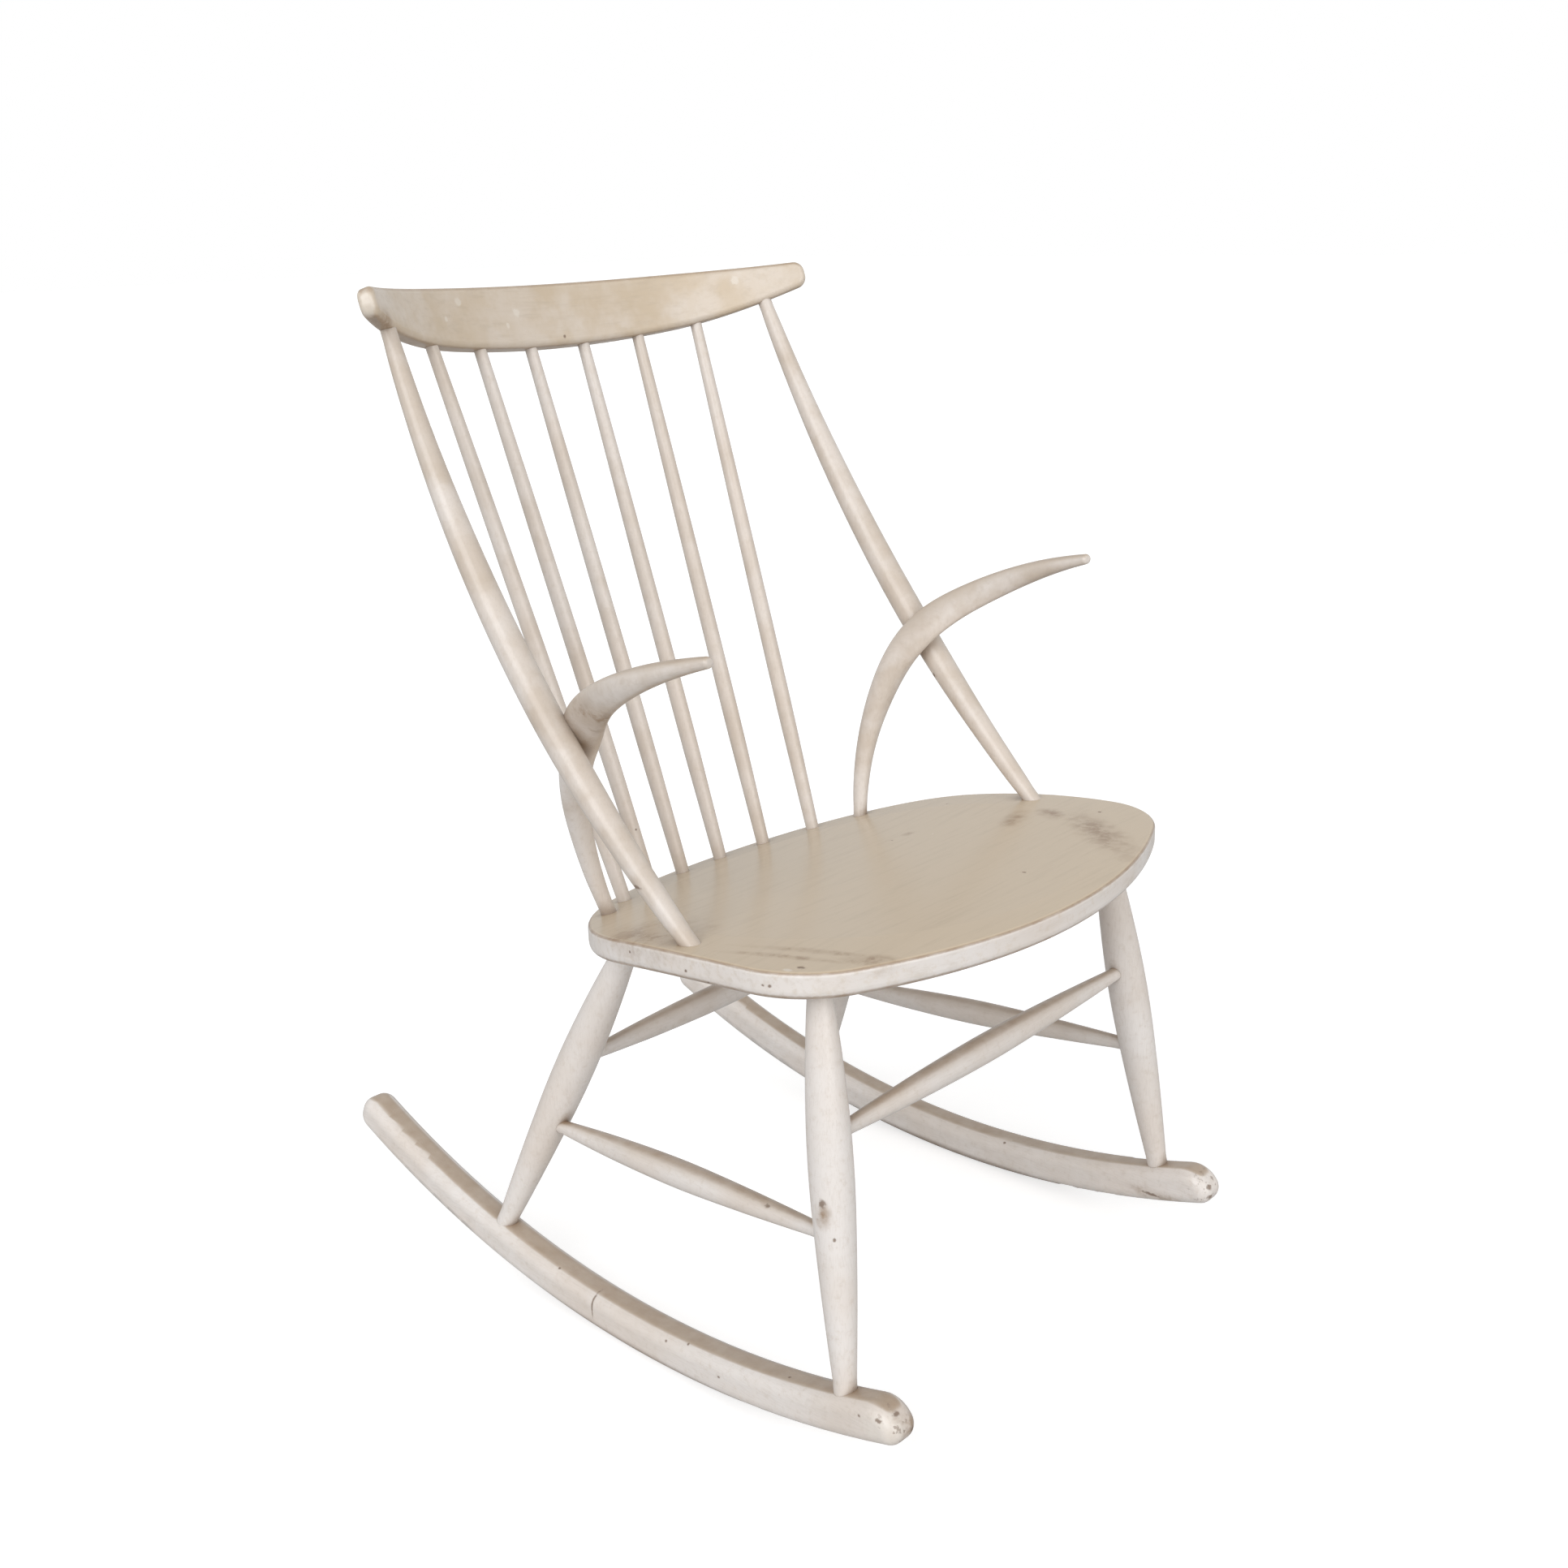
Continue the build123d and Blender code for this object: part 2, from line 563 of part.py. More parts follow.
def crest_top(x):
    """Height of the crest's upper edge in the crest's frame."""
    return CREST_DEPTH - bend_drop(x, CREST_TOP_RADIUS, CREST_TOP_HALF, CREST_TOP_FALL)


def crest_edge(height, middle_half):
    """Three tangent arcs of the crest's upper or lower edge, run on past the tips."""
    reach = CREST_HALF_LENGTH + CREST_THICKNESS
    between = (reach + middle_half) / 2
    arcs = [ThreePointArc((-middle_half, height(middle_half)), (0, height(0)),
                          (middle_half, height(middle_half)))]
    for side in (-1, 1):
        arcs.append(ThreePointArc((side * middle_half, height(middle_half)),
                                  (side * between, height(between)),
                                  (side * reach, height(reach))))
    return arcs


def crest_elevation():
    """Front outline of the crest, run on past its tips."""
    reach = CREST_HALF_LENGTH + CREST_THICKNESS
    sides = [Line((side * reach, crest_belly(reach)), (side * reach, crest_top(reach)))
             for side in (-1, 1)]
    return make_face(crest_edge(crest_top, CREST_TOP_HALF)
                     + crest_edge(crest_belly, CREST_BELLY_HALF) + sides)


def crest():
    """Bent crest rail, deepest in the middle, with rounded tips and edges."""
    sheet = extrude(crest_plan(), CREST_DEPTH + CREST_THICKNESS)
    slab = extrude(Plane.XZ * crest_elevation(), CREST_HALF_LENGTH, both=True)
    rail = sheet & slab
    tip_faces = rail.faces().filter_by(GeomType.PLANE).sort_by(Axis.X)
    corners = []
    heights = []
    for face in (tip_faces[0], tip_faces[-1]):
        rising = face.edges().filter_by(Axis.Z)
        heights.append(rising[0].length)
        corners += [edge for edge in face.edges() if edge not in rising]
    rail = fillet(corners, min(CREST_TIP_CORNER, min(heights) * ROUNDED_END_SHARE))
    upright = rail.faces().filter_by(lambda face: abs(face.normal_at().Z) < FLATNESS)
    broad = [face for face in upright if face.area > CREST_THICKNESS * CREST_DEPTH]
    edges = [edge for face in broad for edge in face.edges()]
    rims = [edge for edge in edges if edges.count(edge) == 1]
    rail = crest_frame() * fillet(rims, CREST_EDGE)
    return bored(rail, crest_mortises())


def crest_mortises():
    """Holes in the crest's lower edge for the spindles and the posts."""
    left = []
    for foot, top in left_spindles():
        left.append(mortise(top, top - foot, SPINDLE_TOP_DIAMETER, SPINDLE_CREST_TENON,
                            CREST_EDGE * 2))
    left.append(post_mortise(1, 1, POST_TOP_DIAMETER, POST_CREST_TENON))
    return left + [mirror(hole, about=Plane.YZ) for hole in left]


def spindle(ends):
    """Turned back spindle, thickest a little above the seat."""
    foot, top = ends
    return turned(foot, top, SPINDLE_SEAT_TENON, SPINDLE_CREST_TENON, SPINDLE_FOOT_DIAMETER,
                  SPINDLE_BELLY_DIAMETER, SPINDLE_TOP_DIAMETER, SPINDLE_BELLY_SHARE)


def post_curve():
    """Centre line of the left back post, from the seat to the crest."""
    foot = on_seat(POST_FOOT_X, POST_FOOT_Y)
    top = on_crest(POST_TOP_X)
    chord = (top - foot).normalized()
    behind = Vector(-1, 0, 0).cross(chord).normalized()
    outward = behind.cross(chord).normalized()
    splay = radians(POST_BOW_SPLAY)
    middle = (foot + top) * 0.5 + (behind * cos(splay) + outward * sin(splay)) * POST_BOW
    return ThreePointArc(foot, middle, top)


def post_section(along, grow=0.0):
    """Flat round section of the post at a share of the way between its tenons."""
    curve = post_curve()
    diameter = swell(along, POST_FOOT_DIAMETER, POST_BELLY_DIAMETER, POST_TOP_DIAMETER,
                     POST_BELLY_SHARE)
    place = (POST_LEAD + along * (curve.length - 2 * POST_LEAD)) / curve.length
    frame = Plane(origin=curve @ place, x_dir=(1, 0, 0), z_dir=curve % place)
    return frame * Circle(diameter / 2 + grow)


def post(grow=0.0):
    """Left back post without its lap, swollen where the arm crosses it."""
    shares = [index / SHAFT_STATIONS for index in range(SHAFT_STATIONS + 1)]
    sections = [post_section(share, grow) for share in shares]
    foot_pin = extrude(sections[0], -(POST_LEAD + POST_SEAT_TENON))
    top_pin = extrude(sections[-1], POST_LEAD + POST_CREST_TENON)
    return loft(sections) + foot_pin + top_pin


def post_mortise(along, inward_sign, diameter, tenon):
    """Hole for one of the post's tenons, from where the tenon starts."""
    face = post_section(along).face()
    return mortise(face.center(), face.normal_at() * inward_sign, diameter,
                   POST_LEAD + tenon, 0)


def arm_plane():
    """Frame of the arm: X back along the chair, Y up the splay, Z outward."""
    splay = radians(ARM_SPLAY)
    outward = Vector(cos(splay), 0, -sin(splay))
    foot = on_seat(ARM_FOOT_X, foot_circle_y(ARM_FOOT_X))
    return Plane(origin=foot, x_dir=(0, 1, 0), z_dir=outward)


def arm_point(y, rise, out=0.0):
    """Point at a place and a rise over the seat's top line, then out of the arm's plane."""
    frame = arm_plane()
    up = (SEAT_HEIGHT + rise - frame.origin.Z) / cos(radians(ARM_SPLAY))
    return frame.from_local_coords(Vector(y - frame.origin.Y, up, out))


def arm_curve():
    """Centre line of the left arm, from the seat past the post to the tip."""
    return Spline(
        arm_plane().origin,
        arm_point(ARM_WAIST_Y, ARM_WAIST_RISE),
        arm_point(ARM_ELBOW_Y, ARM_ELBOW_RISE),
        arm_point(ARM_LAP_Y, ARM_LAP_RISE),
        arm_point(ARM_REST_Y, ARM_REST_RISE, ARM_REST_OUT),
        arm_point(ARM_NOSE_Y, ARM_NOSE_RISE, ARM_NOSE_OUT),
        arm_point(ARM_TIP_Y, ARM_TIP_RISE, ARM_TIP_OUT),
    )


def smooth(share, marks):
    """Value at a share along a member, on a smooth curve through (share, value) marks."""
    def slope(index):
        low, high = max(index - 1, 0), min(index + 1, len(marks) - 1)
        return (marks[high][1] - marks[low][1]) / (marks[high][0] - marks[low][0])

    index = 0
    while index < len(marks) - 2 and share > marks[index + 1][0]:
        index += 1
    (start, first), (finish, second) = marks[index], marks[index + 1]
    span = finish - start
    part = min(max((share - start) / span, 0), 1)
    rest = 1 - part
    return (first * rest**2 * (1 + 2 * part) + second * part**2 * (1 + 2 * rest)
            + span * part * rest * (slope(index) * rest - slope(index + 1) * part))


def arm_sections(grow=0.0):
    """Oval sections of the arm, round at the seat and flatter past the elbow."""
    curve = arm_curve()
    outward = arm_plane().z_dir
    widths = [(0, ARM_FOOT_DIAMETER), (ARM_WAIST_SHARE, ARM_WAIST_DIAMETER),
              (ARM_ELBOW_SHARE, ARM_ELBOW_DIAMETER), (ARM_LAP_SHARE, ARM_LAP_WIDTH),
              (ARM_BLADE_SHARE, ARM_BLADE_WIDTH), (ARM_NOSE_SHARE, ARM_NOSE_WIDTH),
              (1, ARM_TIP_WIDTH)]
    thicknesses = [(0, ARM_FOOT_DIAMETER), (ARM_WAIST_SHARE, ARM_WAIST_DIAMETER),
                   (ARM_ELBOW_SHARE, ARM_ELBOW_DIAMETER), (ARM_LAP_SHARE, ARM_LAP_THICKNESS),
                   (ARM_BLADE_SHARE, ARM_BLADE_THICKNESS), (ARM_NOSE_SHARE, ARM_NOSE_THICKNESS),
                   (1, ARM_TIP_THICKNESS)]
    twists = [(ARM_ELBOW_SHARE, 0), (ARM_LAP_SHARE, ARM_LAP_TWIST),
              (ARM_BLADE_SHARE, ARM_BLADE_TWIST), (1, ARM_TIP_TWIST)]
    lead_share = ARM_LEAD / curve.length
    sections = []
    for index in range(ARM_STATIONS + 1):
        share = lead_share + (1 - lead_share) * index / ARM_STATIONS
        place = share * curve.length
        size_share = (share - lead_share) / (1 - lead_share)
        thickness = smooth(size_share, thicknesses)
        width = smooth(size_share, widths)
        frame = Plane(origin=curve.position_at(place, PositionMode.LENGTH), x_dir=outward,
                      z_dir=curve.tangent_at(place, PositionMode.LENGTH))
        oval = Ellipse(thickness / 2 + grow, width / 2 + grow)
        sections.append(frame * Rot(Z=smooth(size_share, twists)) * oval)
    return sections


def arm(grow=0.0):
    """Left arm without its lap: round at the seat, a blade under the hand."""
    sections = arm_sections(grow)
    blade = loft(sections)
    tip_face = blade.faces().filter_by(GeomType.PLANE).sort_by(Axis.Y)[0]
    tip_sizes = sorted((ARM_TIP_WIDTH, ARM_TIP_THICKNESS))
    tightest = tip_sizes[0] ** 2 / tip_sizes[1]
    blade = fillet(tip_face.edges(), min(ARM_TIP_ROUND, tightest * ROUNDED_END_SHARE))
    return blade + extrude(sections[0], -(ARM_LEAD + ARM_SEAT_TENON))


def arm_mortise():
    """Hole in the seat for the arm's tenon, from where the tenon starts."""
    face = arm_sections()[0].face()
    return mortise(face.center(), face.normal_at() * -1, ARM_FOOT_DIAMETER,
                   ARM_LEAD + ARM_SEAT_TENON, 0)


def lap_side(outward_side):
    """Block over the crossing, on one side of the face where arm and post meet."""
    frame = arm_plane()
    crossing = arm_point(ARM_LAP_Y, ARM_LAP_RISE)
    face = crossing + frame.z_dir * (ARM_LAP_THICKNESS / 2 - LAP_NOTCH_DEPTH)
    size = 2 * (ARM_LAP_WIDTH + POST_BELLY_DIAMETER)
    block = Box(size, size, size, align=(Align.CENTER, Align.CENTER, Align.MIN))
    way = frame.z_dir * (1 if outward_side else -1)
    return Plane(origin=face, z_dir=way) * block


def lapped_post():
    """Back post, notched on its inner side for the arm."""
    return (post() - (arm(JOINT_CLEARANCE) & lap_side(False))).solids().sort_by(SortBy.VOLUME)[-1]


def lapped_arm():
    """Arm, notched on its outer side for the back post."""
    return (arm() - (post(JOINT_CLEARANCE) & lap_side(True))).solids().sort_by(SortBy.VOLUME)[-1]


def save(name, shape):
    """Write one named piece."""
    shape.label = name
    export_step(shape, f"parts/{name}.step")


def save_pair(name, left_shape):
    """Write a left piece and its mirror on the right."""
    save(f"{name}_left", left_shape)
    save(f"{name}_right", mirror(left_shape, about=Plane.YZ))


def main():
    """Build and write every piece of the chair."""
    os.makedirs("parts", exist_ok=True)
    save("seat", seat())
    save("crest_rail", crest())
    save_pair("back_post", lapped_post())
    save_pair("arm", lapped_arm())
    for index, ends in enumerate(left_spindles()):
        save_pair(f"back_spindle_{index + 1}", spindle(ends))
    save_pair("front_leg", front_leg())
    save_pair("rear_leg", rear_leg())
    save_pair("rocker", rocker())
    lines = stretcher_lines()
    save("front_stretcher", stretcher(lines["front"]))
    save("rear_stretcher", stretcher(lines["rear"]))
    save_pair("side_stretcher", stretcher(lines["side"]))


main()
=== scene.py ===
"""Finish, light and camera of a painted rocking chair with a spindle back.

Every piece carries one worn cream enamel, mixed from the same layers: cloudy
cream, yellowing in patches, dust and painted shade on what faces up, grime and
painted shade in the crevices, painted shade on rounded edges, grain under the
paint, specks, rubbed spots and chips down to the dark wood.
Lengths are in metres and angles in degrees, but the places and sizes of marks
in the paint are in millimetres. The chair faces -Y.
"""

from math import cos, radians, sin
from typing import NamedTuple

import bpy
import numpy as np
from bpy.props import FloatProperty, FloatVectorProperty, PointerProperty
from mathutils import Matrix, Vector

bl_info = {
    "name": "Painted Rocking Chair",
    "version": (1, 0, 0),
    "blender": (4, 5, 0),
    "location": "View3D > Sidebar > Rocking Chair",
    "description": "Worn cream paint, studio light and camera for a spindle-back rocking chair",
    "category": "Object",
}

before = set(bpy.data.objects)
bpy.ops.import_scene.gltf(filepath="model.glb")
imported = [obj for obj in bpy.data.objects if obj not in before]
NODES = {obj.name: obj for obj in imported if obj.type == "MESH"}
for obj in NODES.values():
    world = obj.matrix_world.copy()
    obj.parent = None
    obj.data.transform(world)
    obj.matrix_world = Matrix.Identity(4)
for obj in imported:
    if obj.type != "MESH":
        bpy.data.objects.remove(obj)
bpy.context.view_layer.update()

MILLIMETRE = 0.001


class Cloud(NamedTuple):
    """Noise: features per metre, detail, and the levels at which it starts and is full."""

    scale: float
    detail: int
    roughness: float
    low: float = 0.0
    high: float = 1.0


# Colour of the paint
CLOUDS = Cloud(9, 4, 0.5, 0.35, 0.68)
MOTTLE = Cloud(26, 5, 0.6)
PATCHES = Cloud(14, 4, 0.6, 0.4, 0.62)
STREAKS = Cloud(12, 5, 0.6, 0.45, 0.75)
STREAK_SHADE = 0.78         # the grain is this much of the aged paint's colour
FRECKLES = Cloud(140, 6, 0.7, 0.5, 0.72)
FRECKLE_SHARE = 0.35

# Dirt, painted shade and rubbing
DIRT = Cloud(60, 3, 0.5)
NOOK_REACH = 0.02           # a crevice is darkened by what stands this near
NOOK_START = 0.9            # open sky at which painted shade and grime in crevices start and are full
NOOK_FULL = 0.45
# width over which the painted shade on rounded edges fades out
EDGE_SHADE_FADE = 0.15
SMEAR_BREAKS = Cloud(55, 6, 0.65, 0.42, 0.62)
RUB_SHARE = 0.45
BAR_SIDE = 0.45             # upright part of the normal on a bar's side and on its top
BAR_TOP = 0.94

# Chips
SPECK_CELLS = 70.0          # cells per metre, of which a few hold a speck
SPECK_AREAS = Cloud(5, 2, 0.5, 0.42, 0.62)
SPECK_CHANCE = 0.16
SPECK_SHARE = 0.8
BLOW_CHANCE = 0.3           # more specks where a piece is battered
DENTS = Cloud(170, 3, 0.6, 0.57, 0.66)
DENT_SHARE = 0.6
CHIP_SHARE = 0.85

# Relief and gloss
STREAK_HEIGHT = 0.00004
GRIT = Cloud(220, 2, 0.5)
GRIT_HEIGHT = 0.00003
CHIP_DEPTH = 0.0004
BUMP = 0.7
CHIP_ROUGHNESS = 0.35
MOTTLE_ROUGHNESS = 0.03

# Stage
FLOOR_REACH = 30.0
FLOOR_COLOUR = 0.6
FLOOR_GLOW = 0.62           # only the camera sees it
FLOOR_ROUGHNESS = 0.9
NEAREST_VIEW = 0.05


class Lamp(NamedTuple):
    """Distant soft lamp: where it shines from, its width as an angle, and its colour."""

    azimuth: float
    elevation: float
    softness: float
    tint: tuple


KEY = Lamp(-78, 34, 45, (0.99, 0.99, 1.0))
FILL = Lamp(-12, 20, 50, (1.0, 0.975, 0.95))


def linear(red, green, blue):
    """Scene-linear colour of a paint whose screen colour is given from 0 to 255."""
    levels = np.array((red, green, blue)) / 255
    curve = np.where(levels <= 0.04045, levels / 12.92, ((levels + 0.055) / 1.055) ** 2.4)
    return tuple(float(level) for level in curve)


def colour(name, description, default):
    """One colour property."""
    return FloatVectorProperty(name=name, description=description, default=default,
                               size=3, min=0, max=1, subtype="COLOR")


def share(name, description, default):
    """One property from 0 to 1."""
    return FloatProperty(name=name, description=description, default=default,
                         min=0, max=1, subtype="FACTOR")


class ChairPaint(bpy.types.PropertyGroup):
    """Colours and gloss of the enamel."""

    cream: colour("Cream", "Clean paint", linear(232, 227, 223))
    ivory: colour("Ivory", "Warmer tint in the paint's clouds", linear(226, 217, 209))
    # aged paint, whose colour also stands for the painted shade on what faces up
    aged_and_top_shade: colour("Aged", "Yellowed paint", linear(206, 189, 165))
    dusty: colour("Dusty", "Greyer aged paint", linear(199, 186, 173))
    # grime, also the colour of the painted shade that ambient occlusion puts in crevices
    grime: colour("Grime", "Dirt in crevices", linear(126, 99, 70))
    # smeared dirt, whose colour is also the painted shade on rounded edges
    stain_and_edge_shade: colour("Stain", "Smeared dirt", linear(152, 126, 99))
    wood: colour("Wood", "Bare old wood in the chips", linear(126, 106, 90))
    rubbed: colour("Rubbed", "Pale rubbed spots", linear(234, 228, 219))
    roughness: share("Roughness", "Roughness of the enamel", 0.22)


class ChairStage(bpy.types.PropertyGroup):
    """Camera and light."""

    lens: FloatProperty(name="Lens", description="Focal length", default=41.74,
                        min=1, subtype="DISTANCE_CAMERA")
    azimuth: FloatProperty(name="Azimuth", description="Camera's place round the chair",
                           default=radians(-47.23), subtype="ANGLE")
    elevation: FloatProperty(name="Elevation", description="Camera's height as an angle",
                             default=radians(17.52), subtype="ANGLE")
    roll: FloatProperty(name="Roll", description="Turn of the camera about its line of sight",
                        default=radians(-1.51), subtype="ANGLE")
    distance: FloatProperty(name="Distance", description="Camera to target", default=1.77,
                            min=0, subtype="DISTANCE", unit="LENGTH")
    target: FloatVectorProperty(name="Target", description="Point that the camera looks at",
                                default=(0.0134, -0.0132, 0.4818), size=3,
                                subtype="TRANSLATION", unit="LENGTH")
    key: FloatProperty(name="Key", description="Strength of the light from the right arm's side",
                       default=1.3, min=0)
    fill: FloatProperty(name="Fill", description="Strength of the light from the front",
                        default=1.0, min=0)
    room: FloatProperty(name="Room", description="Strength of the light from all round",
                        default=0.52, min=0)
    sheen: FloatProperty(name="Sheen", description="Strength of the room where gloss mirrors it",
                         default=0.75, min=0)


class Graph:
    """Adds nodes to a new material, or to the tree given, and wires them."""

    def __init__(self, name, tree=None):
        if tree is None:
            self.material = bpy.data.materials.new(name)
            self.material.use_nodes = True
            tree = self.material.node_tree
        self.tree = tree
        self.tree.nodes.clear()

    def add(self, kind, inputs=None, **settings):
        """One node, with its settings set and its inputs set or linked."""
        node = self.tree.nodes.new(kind)
        for key, value in settings.items():
            setattr(node, key, value)
        for key, value in (inputs or {}).items():
            if isinstance(value, bpy.types.NodeSocket):
                self.tree.links.new(value, node.inputs[key])
            else:
                node.inputs[key].default_value = value
        return node

    def sum(self, operation, *values, clamp=False):
        """Result of one arithmetic step."""
        inputs = dict(enumerate(values))
        return self.add("ShaderNodeMath", inputs, operation=operation, use_clamp=clamp).outputs[0]

    def times(self, *values):
        """Product of the values."""
        product = values[0]
        for value in values[1:]:
            product = self.sum("MULTIPLY", product, value)
        return product

    def line(self, value, slope, start, clamp=False):
        """The value times a slope, plus a start."""
        return self.sum("MULTIPLY_ADD", value, slope, start, clamp=clamp)

    def step(self, value, low, high):
        """Smooth rise from 0 at low to 1 at high, or a fall where high is below low."""
        inputs = {"Value": value, "From Min": low, "From Max": high}
        node = self.add("ShaderNodeMapRange", inputs, interpolation_type="SMOOTHSTEP")
        return node.outputs["Result"]

    def mix(self, amount, first, second):
        """Blend of two colours."""
        node = self.add("ShaderNodeMix", data_type="RGBA")
        for key, value in (("Factor_Float", amount), ("A_Color", first), ("B_Color", second)):
            socket = next(s for s in node.inputs if s.identifier == key)
            if isinstance(value, bpy.types.NodeSocket):
                self.tree.links.new(value, socket)
            else:
                socket.default_value = value if key == "Factor_Float" else (*value, 1)
        return next(s for s in node.outputs if s.identifier == "Result_Color")

    def mapped(self, place, scale):
        """Coordinates scaled along each axis."""
        return self.add("ShaderNodeMapping", {"Vector": place, "Scale": scale}).outputs["Vector"]

    def noise(self, place, scale, detail=3, roughness=0.5):
        """Cloudy value round 0.5."""
        inputs = {"Vector": place, "Scale": scale, "Detail": detail, "Roughness": roughness}
        return self.add("ShaderNodeTexNoise", inputs).outputs["Fac"]

    def haze(self, place, cloud):
        """Noise of a cloud, as it is."""
        return self.noise(place, cloud.scale, cloud.detail, cloud.roughness)

    def cloud(self, place, cloud):
        """Noise of a cloud, from 0 at its low level to 1 at its high one."""
        return self.step(self.haze(place, cloud), cloud.low, cloud.high)


class Mark(NamedTuple):
    """Mark in the paint: an ellipsoid in metres, turned about the upright, in degrees."""

    centre: tuple
    radii: tuple
    turn: float = 0.0


class Wear(NamedTuple):
    """How one kind of piece has worn, and where painted shade lies on it."""

    yellowed: float         # share of aged paint all over
    patched: float          # more of it in patches
    settled: float          # and on what faces up, as dust and painted shade
    top_shade_from: float     # upright part of the normal at which that starts
    top_shade_full: float
    grain: tuple            # how finely the grain varies along X, Y and Z
    specks: float
    warmth: float = 0.2     # aged paint from greyish at 0 to yellow at 1
    figure: float = 0.18    # how much the grain shows
    nooks: float = 0.8      # grime and painted shade in crevices
    bar: bool = False       # a bent bar along Y, whose top is told by its cross section
    rim: tuple = ()         # painted brown shade on rounded edges: amount, then the upright parts of the normal at which it starts, is full and fades
                            # at which they start, are full and fade
    chips: tuple = ()       # down to the wood
    smears: tuple = ()      # grime
    rubs: tuple = ()        # pale
    battered: tuple = ()    # thick with chips


def spots(piece, radii, *places, turn=0.0):
    """Marks of one size on a piece, each at the point of its surface nearest to a rough place."""
    shapes = bpy.context.evaluated_depsgraph_get()
    marks = []
    for place in places:
        rough = Vector(place) * MILLIMETRE
        found, point, _, _ = NODES[piece].closest_point_on_mesh(rough, depsgraph=shapes)
        if not found:
            raise RuntimeError(f"{piece} has no surface near {place}")
        marks.append(Mark(tuple(point), tuple(Vector(radii) * MILLIMETRE), turn))
    return tuple(marks)


def mark_mask(graph, place, marks, edge=0.35, raggedness=0.9, fineness=260):
    """Mask of ragged marks: one where a noisy distance from a mark's middle is under 1."""
    ragged = graph.line(graph.noise(place, fineness, 3), raggedness, -raggedness / 2)
    mask = None
    for mark in marks:
        near = graph.add("ShaderNodeMapping",
                         {"Vector": place, "Location": mark.centre, "Scale": mark.radii,
                          "Rotation": (0, 0, radians(mark.turn))}, vector_type="TEXTURE")
        distance = graph.add("ShaderNodeVectorMath", {0: near.outputs["Vector"]},
                             operation="LENGTH").outputs["Value"]
        one = graph.step(graph.sum("ADD", distance, ragged), 1 + edge, 1 - edge)
        mask = one if mask is None else graph.sum("MAXIMUM", mask, one)
    return mask


def facing_up(graph, normal, bar):
    """Upright part of the normal, measured across the bar on a piece that is one."""
    if not bar:
        return normal["Z"]
    across = graph.sum("SQRT", graph.sum("SUBTRACT", 1.0, graph.times(normal["X"], normal["X"])))
    return graph.times(across, graph.step(normal["Z"], BAR_SIDE, BAR_TOP))


def aged_and_shaded_tone(graph, place, facing, mottle, streaks, paint, wear):
    """Clouds of cream, yellowed in patches, with dust and painted shade on top, with grain and
    freckles.
    """
    aged_and_top_shade = tuple(grey + (warm - grey) * wear.warmth
                 for grey, warm in zip(paint.dusty, paint.aged_and_top_shade))
    tone = graph.mix(graph.cloud(place, CLOUDS), paint.cream, paint.ivory)
    yellowed = graph.line(graph.cloud(place, PATCHES), wear.patched, wear.yellowed)
    tone = graph.mix(graph.times(mottle, yellowed), tone, aged_and_top_shade)
    # dust and painted shade on what faces up
    settled = graph.times(graph.step(facing, wear.top_shade_from, wear.top_shade_full), mottle,
                          wear.settled)
    tone = graph.mix(graph.sum("MINIMUM", settled, 1.0), tone, aged_and_top_shade)
    figure = graph.times(graph.step(streaks, STREAKS.low, STREAKS.high), wear.figure)
    tone = graph.mix(figure, tone, tuple(STREAK_SHADE * level for level in aged_and_top_shade))
    return graph.mix(graph.times(graph.cloud(place, FRECKLES), FRECKLE_SHARE), tone, aged_and_top_shade)


def dirt_and_shade_tone(graph, place, facing, tone, paint, wear):
    """The tone with grime and painted shade in the nooks, painted shade on rounded edges, smears
    and rubbed spots.
    """
    # painted shade, with grime, where ambient occlusion finds a crevice
    nook = graph.add("ShaderNodeAmbientOcclusion", {"Distance": NOOK_REACH}, samples=8)
    crevice_shade = graph.step(nook.outputs["AO"], NOOK_START, NOOK_FULL)
    uneven = graph.line(graph.haze(place, DIRT), 0.9, 0.3, clamp=True)
    tone = graph.mix(graph.times(crevice_shade, uneven, wear.nooks), tone, paint.grime)
    # painted shade on rounded edges, in the colour of the smeared dirt
    if wear.rim:
        amount, start, full, fade = wear.rim
        upright = graph.sum("ABSOLUTE", facing)
        edge_shade_mask = graph.times(graph.step(upright, start, full),
                            graph.step(upright, fade + EDGE_SHADE_FADE, fade))
        tone = graph.mix(graph.times(edge_shade_mask, uneven, amount), tone, paint.stain_and_edge_shade)
    if wear.smears:
        smear = mark_mask(graph, place, wear.smears, edge=0.95, raggedness=1.1, fineness=45)
        broken = graph.line(graph.cloud(place, SMEAR_BREAKS), 0.6, 0.3)
        tone = graph.mix(graph.times(smear, broken), tone, paint.stain_and_edge_shade)
    if wear.rubs:
        rubbed = graph.times(mark_mask(graph, place, wear.rubs), RUB_SHARE)
        tone = graph.mix(rubbed, tone, paint.rubbed)
    return tone


